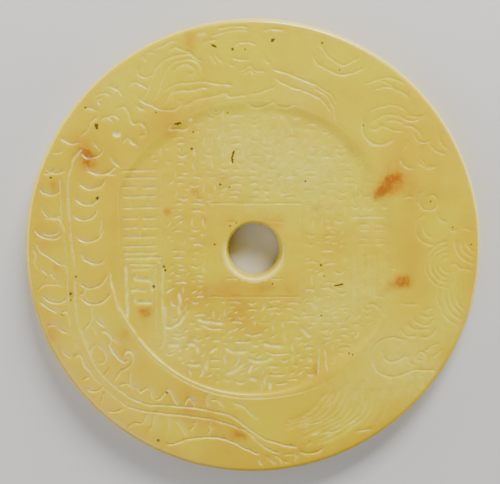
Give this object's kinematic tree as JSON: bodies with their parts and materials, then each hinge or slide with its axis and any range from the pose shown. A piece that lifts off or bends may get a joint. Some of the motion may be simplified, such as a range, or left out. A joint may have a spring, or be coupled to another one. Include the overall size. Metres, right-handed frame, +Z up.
{
  "type": "carved jade bi disc",
  "caption": "Flat round disc of polished yellow jade with a round centre hole, a sunken medallion with rows of strokes, and a band of incised dragon and cloud carving.",
  "frame": {"origin": "centre of the back face, on the axis of the centre hole", "axes": "+Z up out of the carved face along the hole's axis, +Y towards the top of the carving, +X to the right of the carving seen from the front"},
  "size_m": [0.2, 0.2, 0.012],
  "materials": {
    "jade": "polished translucent yellow nephrite with amber stains and paler matt cuts"
  },
  "bodies": {
    "root": {"jade_disc": "jade"}
  },
  "joints": []
}
